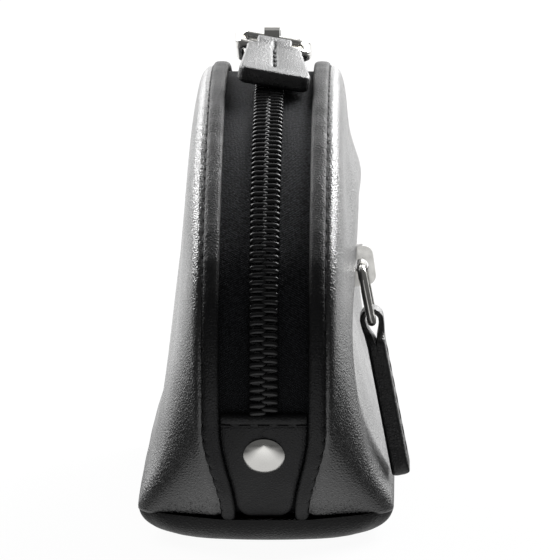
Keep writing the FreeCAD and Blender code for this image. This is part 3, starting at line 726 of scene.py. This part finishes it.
tab = {
    "topHeight": 20.6, "endTurn": 50.9, "clear": 0.25, "tipHalf": 2.2, "tipShare": 0.2, "steps": (24, 30, 18),
    "columns": 41, "roll": 1.5, "rollRise": 0.55, "crown": 0.35, "crownPower": 10, "tipFall": 0.6, "low": -1.1,
    "seamAt": 1.75, "seamCrease": 0.12, "seamSpread": 0.3,
    "stitches": 5, "stitchInset": 0.9, "stitchLift": -0.34, "stitchLength": 1.7, "stitchThick": 0.17,
}
tabStart = heelTurn(tab["topHeight"])


def tabMesh(way):
    tip = tab["tipShare"]
    first, middle, last = tab["steps"]
    share = np.concatenate([np.linspace(0, tip, first, endpoint=False),
                            np.linspace(tip, 1 - tip, middle, endpoint=False),
                            1 - tip * (1 - np.sin(np.linspace(0, np.pi / 2, last)))])[:, None]
    turn = tabStart + (90 + tab["endTurn"] - tabStart) * share
    across = np.sin(np.linspace(-np.pi / 2, np.pi / 2, tab["columns"]))[None, :]
    wide = bindingEdge(turn) - tab["clear"]
    inTip = np.clip((share - (1 - tip)) / tip, 0, 1)
    half = tab["tipHalf"] + (wide - tab["tipHalf"]) * np.sqrt(np.clip(1 - inTip ** 2, 0, 1))
    fromTop = np.radians(turn - tabStart) * case["heelRadius"]
    rollShare = np.clip(fromTop / tab["roll"], 0, 1)
    rise = tab["rollRise"] * np.sqrt(np.clip(1 - (2 * rollShare - 1) ** 2, 0, 1))
    rise = rise - tab["seamCrease"] * hump(fromTop, tab["seamAt"], tab["seamSpread"])
    fromTip = np.radians(90 + tab["endTurn"] - turn) * case["heelRadius"]
    edge = np.abs(across) ** tab["crownPower"] + np.clip(1 - fromTip / tab["tipFall"], 0, 1) ** 2
    lift = -case["seamSink"] + rise - tab["crown"] * edge
    x = half * across
    return slabMesh(flatPoint(x, *outline(way * turn, lift)), flatPoint(x, *outline(way * turn, tab["low"])))


def tabStitches(way):
    turn = way * (tabStart + math.degrees(tab["seamAt"] / case["heelRadius"]))
    half = bindingEdge(turn) - tab["stitchInset"]
    x = np.linspace(-half, half, tab["stitches"])
    spots = flatPoint(x, *outline(turn, tab["stitchLift"]))
    up = flatPoint(x, *outline(turn, 1.0)) - spots
    return stitchMesh(spots, np.tile([1.0, 0, 0], (len(x), 1)), up, tab["stitchLength"], tab["stitchThick"])


# rivet = domed cap, post and foot turned about the rivet's own axis
rivet = {
    "height": 14.3, "radius": 2.95, "dome": 1.15, "seat": 0.1, "under": 0.04, "lip": 0.05, "post": 0.8, "foot": 2.3,
    "footTop": -1.7, "footLow": -2.3, "capStart": 0.004, "capSteps": 16, "core": 0.01, "segments": 64,
}


def rivetMesh():
    ball = (rivet["radius"] ** 2 + rivet["dome"] ** 2) / (2 * rivet["dome"])
    lean = np.linspace(rivet["capStart"], math.asin(rivet["radius"] / ball), rivet["capSteps"])
    cap = np.stack([ball * np.sin(lean), ball * np.cos(lean) - ball + rivet["dome"] + rivet["seat"]], 1)
    rest = [(rivet["radius"] - rivet["lip"], rivet["under"]), (rivet["post"], rivet["under"]),
            (rivet["post"], rivet["footTop"]), (rivet["foot"], rivet["footTop"]),
            (rivet["foot"], rivet["footLow"]), (rivet["core"], rivet["footLow"])]
    profile = np.concatenate([cap, np.array(rest)])
    angle = np.linspace(0, 2 * np.pi, rivet["segments"], endpoint=False)[None, :]
    radius, height = profile[:, :1], profile[:, 1:]
    return cappedMesh(flatPoint(radius * np.cos(angle), radius * np.sin(angle), height))


for way, name in ((-1, "near"), (1, "far")):
    piece = addPiece(name + "EndTab", tabMesh(way), bindingLeather)
    settle(piece, "case_back", "black_leather", name + "_end_tab")
    piece = addPiece(name + "TabStitches", tabStitches(way), thread)
    settle(piece, "case_back", "black_leather")
    place = onOutline(way * heelTurn(rivet["height"]), -case["seamSink"])
    piece = addPiece(name + "RivetCap", placed(rivetMesh(), place), nickel, 30)
    settle(piece, "case_back", "nickel", name + "_rivet")
print("end tabs ready")

# base: a shallow leather dish

base = {
    "rim": 4.7, "endRim": 3.75, "tuckX": 8.0, "tuckY": 5.5, "wallSteps": 16, "sideSteps": 70, "endSteps": 40,
    "floorRings": (0.02, 0.3, 0.6, 0.85),
}


# plan ring with bowed ends and rounded corners
def baseRing(insetX, insetY):
    halfX, halfY = hemHalf - insetX, baseCornerY - insetY
    side = np.linspace(-1, 1, base["sideSteps"], endpoint=False)
    end = np.linspace(-1, 1, base["endSteps"], endpoint=False)
    bow = case["baseBow"] * (1 - end ** 2)
    x = np.concatenate([halfX * end, halfX + 0 * side, -halfX * end, -halfX + 0 * side])
    y = np.concatenate([-halfY - bow, halfY * side, halfY + bow, -halfY * side])
    return roundCorner(np.stack([x, y, 0 * x], -1), insetX, insetY)


# dish = plan rings drawn in by a quarter ellipse; the rim is lower across the ends than along the sides
def dishRows(extra, floor):
    rimX = np.abs(baseRing(0.0, 0.0)[:, 0])
    rimShare = np.clip((rimX - case["gussetHalfLow"]) / (hemHalf - case["gussetHalfLow"]), 0, 1)
    rim = base["endRim"] + (base["rim"] - base["endRim"]) * rimShare
    wall = baseRing(extra, extra)
    flat = baseRing(extra + base["tuckX"], extra + base["tuckY"])
    rows = [flat * [k, k, 0] + [0, 0, floor] for k in base["floorRings"]]
    for k in np.linspace(0, 1, base["wallSteps"]):
        share = (rim - floor) * k / (base["rim"] - floor)
        inset = 1 - np.sqrt(1 - (1 - share) ** 2)
        row = wall + (flat - wall) * inset[:, None]
        row[:, 2] = floor + (rim - floor) * k
        rows.append(row)
    return np.stack(rows)


shape = cappedMesh(np.concatenate([dishRows(0.0, 0.0), dishRows(case["leather"], case["leather"])[::-1]]))
piece = addPiece("baseLeather", shape, baseLeather, 60)
settle(piece, "case_back", "black_leather", "base_panel")
print("base ready")

# linings: thin cloth behind the leather, hanging clear of the pocket on the front

lining = {
    "thick": 0.4, "gap": 0.15, "columns": 160, "rows": 40, "rowPower": 0.8, "seamShift": -0.1, "clothHigh": 60.0,
    "pocketDepth": 4.4, "roomLow": 0.76, "roomHigh": 0.736,
}


# slab, its flat cloth in millimetres and its area in square metres
def liningMesh(side):
    run = np.linspace(-halfRun, halfRun, lining["columns"])[:, None]
    v = np.linspace(0, 1, lining["rows"])[None, :] ** lining["rowPower"]
    depth = case["leather"] + lining["gap"]
    if side > 0:
        low = lining["roomLow"] * slotShare
        high = lining["roomHigh"] * (1 - slotShare)
        rise = smooth(v / low) * smooth((1 - v) / high) * alongAt(run)[1]
        depth = depth + lining["gap"] + lining["pocketDepth"] * rise
    outer = panelPoint(side, run, v, depth, lining["seamShift"])
    inner = panelPoint(side, run, v, depth + lining["thick"], lining["seamShift"])
    flat = np.stack(np.broadcast_arrays(run, v * lining["clothHigh"]), -1).reshape(-1, 2)
    step = np.cross(np.diff(outer, axis=0)[:, :-1], np.diff(outer, axis=1)[:-1])
    return slabMesh(outer, inner), np.concatenate([flat, flat]), np.linalg.norm(step, axis=-1).sum() * 1e-6


for side, name, body in halves:
    shape, flat, area = liningMesh(side)
    piece = addPiece(name + "Lining", shape, liningCloth, 50, flat)
    settle(piece, body, "lining_cloth", name + "_lining")
print("linings ready")

# pulls: a strap folded round the ring's bar; the main ones have a stitched groove along their middle

pull = {
    "loopRadius": 1.75, "loopHole": 1.0, "loopHalf": 2.6, "loopSteps": 22, "neck": 4.0, "shoulderHalf": 4.2,
    "shoulder": 1.9, "shoulderFade": 1.2, "endHalf": 5.5, "corner": 2.0, "cornerSteps": 6, "edge": 0.55,
    "edgeShare": 0.8, "fold": 0.03, "press": 0.97, "most": 0.95, "rows": (2.5, 40),
    "endRows": (0, 0.04, 0.12, 0.25, 0.4, 0.6, 0.85, 1.15, 1.5, 1.75, 2.0),
    "grooveX": (0.75, 0.45, 0.2, 0.0, -0.2, -0.45, -0.75), "grooveDeep": (0, 0.15, 0.8, 1, 0.8, 0.15, 0),
    "grooveStart": 3.0, "grooveFade": 0.5, "grooveEnd": 1.0, "grooveEndFade": 1.5,
    "stitchRange": (3.6, 2.6), "stitchPitch": 2.4, "stitchLength": 1.8, "stitchThick": 0.24,
}
mainPull = {"length": 18.0, "thick": 2.5, "groove": 0.55, "stitchLift": -0.42, "stitched": (1,)}
pocketPull = {"length": 23.0, "thick": 2.7, "groove": 0.0, "stitchLift": -0.12, "stitched": (1, -1)}


# path from one free end round the loop to the other; each ring across it is a rounded oblong
def pullMesh(kind):
    length, thick = kind["length"], kind["thick"]
    rowStart, rowCount = pull["rows"]
    fromEnd = np.concatenate([pull["endRows"], np.linspace(rowStart, length, rowCount)])
    y = fromEnd - length
    wrap = smooth(y / pull["neck"] + 1)
    loopThick = pull["loopRadius"] - pull["loopHole"]
    midRadius = pull["loopRadius"] - loopThick / 2
    thin = pull["edgeShare"] * edgeFall(pull["edge"], fromEnd)
    z = thick / 4 * pull["press"] + (midRadius - thick / 4) * wrap - thin
    layer = thick / 2 + (loopThick - thick / 2) * wrap
    angle = np.linspace(np.pi / 2, -np.pi / 2, pull["loopSteps"])[1:-1]
    pathY = np.concatenate([y, midRadius * np.cos(angle), y[::-1]])[:, None]
    pathZ = np.concatenate([z, midRadius * np.sin(angle), -z[::-1]])[:, None]
    normY = np.concatenate([0 * y, np.cos(angle), 0 * y])[:, None]
    normZ = np.concatenate([1 + 0 * y, np.sin(angle), -1 + 0 * y])[:, None]
    layer = np.concatenate([layer, loopThick + 0 * angle, layer[::-1]])[:, None]
    free = np.concatenate([fromEnd, 0 * angle + np.inf, fromEnd[::-1]])[:, None]
    upper = np.concatenate([1 + 0 * y, 1 + 0 * angle, 0 * y])[:, None]
    widen = np.clip((-pathY - pull["neck"]) / (length - pull["neck"]), 0, 1)
    half = (pull["shoulderHalf"] - pull["loopHalf"]) * smooth((-pathY - pull["shoulder"]) / pull["shoulderFade"])
    half = pull["loopHalf"] + half + (pull["endHalf"] - pull["shoulderHalf"]) * widen
    half = half - edgeFall(pull["corner"], free)
    thickHalf = layer / 2 - edgeFall(pull["edge"], free) * pull["edgeShare"]
    quarter = np.linspace(0, np.pi / 2, pull["cornerSteps"])
    dip = kind["groove"] * upper * smooth((free - pull["grooveStart"]) / pull["grooveFade"])
    dip = dip * smooth((length - pull["grooveEnd"] - free) / pull["grooveEndFade"])
    columns = []
    for signX, signN, first in ((1, 1, 0), (-1, 1, np.pi / 2), (-1, -1, np.pi), (1, -1, 1.5 * np.pi)):
        size = np.minimum(pull["edge"] if signN > 0 else pull["fold"], thickHalf * pull["most"])
        turn = (quarter + first)[None, :]
        columns.append(np.stack([signX * (half - size) + size * np.cos(turn),
                                 signN * (thickHalf - size) + size * np.sin(turn)], -1))
        if first == 0:
            across = np.array(pull["grooveX"])[None] + 0 * half
            columns.append(np.stack([across, thickHalf - dip * np.array(pull["grooveDeep"])[None]], -1))
    profile = np.concatenate(columns, 1)
    across, above = profile[..., 0], profile[..., 1]
    return cappedMesh(flatPoint(across, pathY + normY * above, pathZ + normZ * above))


def pullStitches(kind):
    low, high = pull["stitchRange"]
    y = np.arange(-kind["length"] + low, -high, pull["stitchPitch"])
    along, up = np.tile([0, 1.0, 0], (len(y), 1)), np.tile([0, 0, 1.0], (len(y), 1))
    shapes = []
    for way in kind["stitched"]:
        spots = flatPoint(0 * y, y, way * (kind["thick"] / 2 + kind["stitchLift"]))
        shapes.append(stitchMesh(spots, along, up, pull["stitchLength"], pull["stitchThick"]))
    return joinMeshes(shapes)


# rounded oblong: a quarter circle round each of four centres
def roundedPlan(reach, low, high, corner, steps):
    quarter = np.linspace(0, np.pi / 2, steps)
    sides = []
    for k, (x, y) in enumerate(((reach, high), (-reach, high), (-reach, low), (reach, low))):
        turn = quarter + k * np.pi / 2
        sides.append(np.stack([x + corner * np.cos(turn), y + corner * np.sin(turn)], 1))
    return np.concatenate(sides)


# ring = round wire along a rounded oblong
ring = {"wire": 0.65, "half": 5.1, "length": 8.0, "corner": 1.5, "steps": 10, "sides": 16}


def ringMesh():
    corner = ring["corner"]
    plan = roundedPlan(ring["half"] - corner, -ring["length"] + corner, -corner, corner, ring["steps"])
    path = flatPoint(plan[:, 0], plan[:, 1], 0.0)
    return tubeMesh(path, np.tile([0, 0, 1.0], (len(path), 1)), ring["wire"], ring["sides"], True)


slider = {
    "pin": 3.65, "nearTurn": 5.5, "spacing": 10.2, "roll": 10.0, "yaw": 4.0, "ringDroop": 10.4, "pullDroop": 14.5,
    "pocketX": 11.517, "pocketHeight": 37.8, "pocketLean": 8.2, "pocketSink": 1.45, "pocketY": -29.0,
    "pocketHang": 11.0,
}


# places of the ring and of the strap that hangs on it
def pullPlaces(seat, heading, roll, yaw):
    start = seat @ shiftBy(0, 0, slider["pin"]) @ turnBy("z", heading) @ turnBy("z", yaw) @ turnBy("y", roll)
    ringPlace = start @ turnBy("x", slider["ringDroop"])
    strapTurn = turnBy("x", slider["pullDroop"] - slider["ringDroop"])
    return ringPlace, ringPlace @ shiftBy(0, -ring["length"], 0) @ strapTurn


farTurn = slider["nearTurn"] + math.degrees(slider["spacing"] / topRadius)
nearPlaces = pullPlaces(onOutline(slider["nearTurn"]), 0, slider["roll"], slider["yaw"])
farPlaces = pullPlaces(onOutline(farTurn), 180, 0.0, 0.0)
pocketFace = shiftBy(slider["pocketX"], 0, slider["pocketHeight"]) @ turnBy("y", 90 - slider["pocketLean"])
pocketZip = pocketFace @ shiftBy(0, 0, -slider["pocketSink"])
pin = (pocketZip @ shiftBy(0, slider["pocketY"], slider["pin"]))[:3, 3]
pocketRing = shiftBy(*pin) @ turnBy("y", -slider["pocketHang"]) @ turnBy("z", 90) @ turnBy("x", 90)
pocketPlaces = pocketRing, pocketRing @ shiftBy(0, -ring["length"], 0)

for name, places, kind in (("near", nearPlaces, mainPull), ("far", farPlaces, mainPull),
                           ("pocket", pocketPlaces, pocketPull)):
    piece = addPiece(name + "PullRing", placed(ringMesh(), places[0]), nickel)
    settle(piece, name + "_ring_body", "nickel", name + "_pull_ring")
    piece = addPiece(name + "PullStrap", placed(pullMesh(kind), places[1]), pullLeather)
    settle(piece, name + "_strap_body", "black_leather", name + "_pull_strap")
    piece = addPiece(name + "PullStitches", placed(pullStitches(kind), places[1]), thread)
    settle(piece, name + "_strap_body", "black_leather")
print("pulls ready")

# pocket zip: straight tapes and coils in the slot's own frame, stitched round the slot

pocket = {"tapeHalf": 6.2, "tapeReach": 36.0, "steps": 60, "columns": 7, "coilReach": 33.0}
tapeRun = np.linspace(-pocket["tapeReach"], pocket["tapeReach"], pocket["steps"])[:, None]
tapeX = np.linspace(tape["inner"], pocket["tapeHalf"], pocket["columns"])[None, :]
for way, name in ((-1, "Upper"), (1, "Lower")):
    shape, flat = tapeMesh(way, tapeX, tapeRun, flatPoint)
    piece = addPiece("pocketTape" + name, placed(shape, pocketZip), tapeCloth, 50, flat)
    settle(piece, "front_shell", "zip_tape", "pocket_tape_" + name.lower())
    shape = placed(coilMesh(way, pocket["coilReach"], flatPoint), pocketZip)
    piece = addPiece("pocketCoil" + name, shape, nylon)
    settle(piece, "front_shell", "zip_coil", "pocket_coil_" + name.lower())


def slotStitches():
    runs = np.interp(np.arange(*panel["stitchRange"], case["stitchPitch"]), slotY, run[:, 0])
    shapes = []
    for way in (-1, 1):
        v = slotShare + way * (panel["slotHalf"] + panel["slotStitch"]) / faceSpan
        spots = panelPoint(1, runs, v, panel["stitchSink"])
        ahead = panelPoint(1, runs + stitch["ahead"], v, panel["stitchSink"]) - spots
        up = panelPoint(1, runs, v, -1.0) - spots
        shapes.append(stitchMesh(spots, ahead, up, panel["stitchLength"], panel["stitchThick"]))
    return joinMeshes(shapes)


piece = addPiece("pocketStitches", slotStitches(), thread)
settle(piece, "front_shell", "black_leather")
print("pocket ready")

# inside: key flap, base cloth and the hard pieces left from the frame

flap = {"corner": 2.0, "edge": 0.35}
baseCloth = {"corner": 3.5, "edge": 0.18}
board = {"planSteps": 8, "edgeSteps": 6, "faceShares": (0.98, 0.5), "edgeWidths": 3}


# soft-edged board: rounded plan, its faces falling off towards the rim
def softBoard(halfA, halfB, thick, corner, edge):
    plan = roundedPlan(halfA - corner, corner - halfB, halfB - corner, corner, board["planSteps"])[None]
    fall = np.linspace(0, np.pi / 2, board["edgeSteps"])
    inset = np.concatenate([np.array(board["faceShares"]) * min(halfA, halfB), [edge * board["edgeWidths"]],
                            edge * (1 - np.sin(fall))])
    level = thick / 2 - np.concatenate([[0, 0, 0], edge * (1 - np.cos(fall))])
    inset = np.concatenate([inset, inset[::-1]])[:, None]
    level = np.concatenate([level, -level[::-1]])[:, None]
    x = plan[..., 0] * ((halfA - inset) / halfA)
    y = plan[..., 1] * ((halfB - inset) / halfB)
    return cappedMesh(flatPoint(x, y, level))


low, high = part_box("key_flap")
place = shiftBy(*((low + high) / 2 * 1000)) @ turnBy("y", 90) @ turnBy("z", 90)
size = (high - low) * 1000
shape = softBoard(size[1] / 2, size[2] / 2, size[0], flap["corner"], flap["edge"])
piece = addPiece("keyFlap", placed(shape, place), leather)
settle(piece, "case_back", "black_leather", "key_flap")

low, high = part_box("base_lining")
size = (high - low) * 1000
shape = softBoard(size[0] / 2, size[1] / 2, size[2], baseCloth["corner"], baseCloth["edge"])
shape = placed(shape, shiftBy(*((low + high) / 2 * 1000)))
piece = addPiece("baseCloth", shape, liningCloth, 50, shape[0][:, :2])
settle(piece, "case_back", "lining_cloth", "base_lining")

hardPieces = {
    "near_slider": nickel, "far_slider": nickel, "pocket_slider": nickel, "key_plate": dullNickel,
    "key_plate_rivets": nickel, "key_rod": dullNickel, "base_board": fibre,
}
hardPieces.update({"key_hook_%d" % k: dullNickel for k in range(1, 7)})
for name, material in hardPieces.items():
    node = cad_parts[name]
    node.data.materials.clear()
    node.data.materials.append(material)
print("inside ready")

# floor, light and camera; each span is where a ramp starts and ends, in metres on the floor

stage = {
    "floor": 0.055, "floorSeen": 0.95, "floorMirrored": 0.62, "floorAhead": 0.2, "floorBehind": 0.9, "half": 4,
    "belowSpan": (0.012, 0.036), "belowLeast": 0.015, "asideSpan": (0.02, 0.09), "asideLeast": 0.05,
    "aheadSpan": (-0.095, -0.062), "behindSpan": (0.06, 0.15), "front": 0.10, "back": 1.75,
    "aim": (2.26, -55.0, 39.5), "azimuth": 1.0, "elevation": 8.0, "distance": 1000.0, "lens": 452.0,
}

floorMaterial, tree, shader = newMaterial("paleFloor")
shader.inputs["Base Color"].default_value = (stage["floor"],) * 3 + (1,)
shader.inputs["Roughness"].default_value = 0.9
shader.inputs["Specular IOR Level"].default_value = 0.0
path = addNode(tree, "ShaderNodeLightPath")
seen = mathNode(tree, "MULTIPLY", path.outputs["Is Camera Ray"], stage["floorSeen"])
place = addNode(tree, "ShaderNodeSeparateXYZ", {0: addNode(tree, "ShaderNodeTexCoord").outputs["Object"]}).outputs
aside = mathNode(tree, "ABSOLUTE", place[0])
below = ramp(tree, aside, *stage["belowSpan"], stage["floorMirrored"], stage["belowLeast"])
ahead = mathNode(tree, "MULTIPLY", ramp(tree, aside, *stage["asideSpan"], 1.0, stage["asideLeast"]),
                 ramp(tree, place[1], *stage["aheadSpan"], stage["floorAhead"], 0.0))
behind = ramp(tree, place[1], *stage["behindSpan"], 0.0, stage["floorBehind"])
strip = mathNode(tree, "ADD", mathNode(tree, "ADD", below, ahead), behind)
mirrored = mathNode(tree, "MULTIPLY", path.outputs["Is Glossy Ray"], strip)
shader.inputs["Emission Color"].default_value = (1, 1, 1, 1)
tree.links.new(mathNode(tree, "ADD", seen, mirrored), shader.inputs["Emission Strength"])
mesh = bpy.data.meshes.new("floor")
half = stage["half"]
mesh.from_pydata([(-half, -half, 0), (half, -half, 0), (half, half, 0), (-half, half, 0)], [], [(0, 1, 2, 3)])
mesh.materials.append(floorMaterial)
floor = bpy.data.objects.new("floor", mesh)
scene.collection.objects.link(floor)

# dim room with a bright white sheet behind the case, given by the parts of a unit direction
tent = {"aside": (0.5, 0.85), "behind": (0.1, 0.4), "low": (0.0, 0.2), "lowLeast": 0.5, "high": (0.5, 0.8)}
world = bpy.data.worlds.new("tent")
scene.world = world
world.use_nodes = True
tree = world.node_tree
tree.nodes.clear()
out = tree.nodes.new("ShaderNodeOutputWorld")
way = addNode(tree, "ShaderNodeSeparateXYZ", {0: addNode(tree, "ShaderNodeTexCoord").outputs["Generated"]}).outputs
aside = ramp(tree, mathNode(tree, "ABSOLUTE", way[0]), *tent["aside"], 1.0, 0.0)
behind = ramp(tree, way[1], *tent["behind"], 0.0, 1.0)
upward = mathNode(tree, "MULTIPLY", ramp(tree, way[2], *tent["low"], tent["lowLeast"], 1.0),
                  ramp(tree, way[2], *tent["high"], 1.0, 0.0))
sheet = mathNode(tree, "MULTIPLY", mathNode(tree, "MULTIPLY", aside, behind), upward)
level = ramp(tree, sheet, 0.0, 1.0, stage["front"], stage["back"])
path = addNode(tree, "ShaderNodeLightPath")
seen = mathNode(tree, "MAXIMUM", level, path.outputs["Is Camera Ray"])
sky = addNode(tree, "ShaderNodeBackground", {"Strength": seen})
sky.inputs["Color"].default_value = (1, 1, 1, 1)
tree.links.new(sky.outputs[0], out.inputs["Surface"])

lamps = [
    {"name": "topSoftbox", "at": (0.0, 0.15, 0.9), "aim": (0, 0, 0.03), "size": 0.6, "power": 0.3},
    {"name": "leftSoftbox", "at": (-0.58, 0.56, 0.60), "aim": (0, 0, 0.03), "size": 0.6, "power": 7.5},
    {"name": "rightSoftbox", "at": (0.51, 0.60, 0.65), "aim": (0, 0, 0.03), "size": 0.6, "power": 12.0},
]
for lamp in lamps:
    light = bpy.data.lights.new(lamp["name"], "AREA")
    light.shape = "SQUARE"
    light.size = lamp["size"]
    light.energy = lamp["power"]
    holder = bpy.data.objects.new(lamp["name"], light)
    holder.location = lamp["at"]
    holder.rotation_euler = (Vector(lamp["aim"]) - Vector(lamp["at"])).to_track_quat("-Z", "Y").to_euler()
    scene.collection.objects.link(holder)

camera = bpy.data.cameras.new("photoCamera")
camera.lens = stage["lens"]
camera.sensor_width = 36.0
camera.clip_start, camera.clip_end = 0.05, 20.0
turn, tilt = math.radians(stage["azimuth"]), math.radians(stage["elevation"])
back = Vector((math.sin(turn) * math.cos(tilt), -math.cos(turn) * math.cos(tilt), math.sin(tilt)))
holder = bpy.data.objects.new("photoCamera", camera)
holder.location = (Vector(stage["aim"]) + back * stage["distance"]) / 1000
holder.rotation_euler = (-back).to_track_quat("-Z", "Y").to_euler()
scene.collection.objects.link(holder)
scene.camera = holder
scene.view_settings.view_transform = "Standard"
print("stage ready")
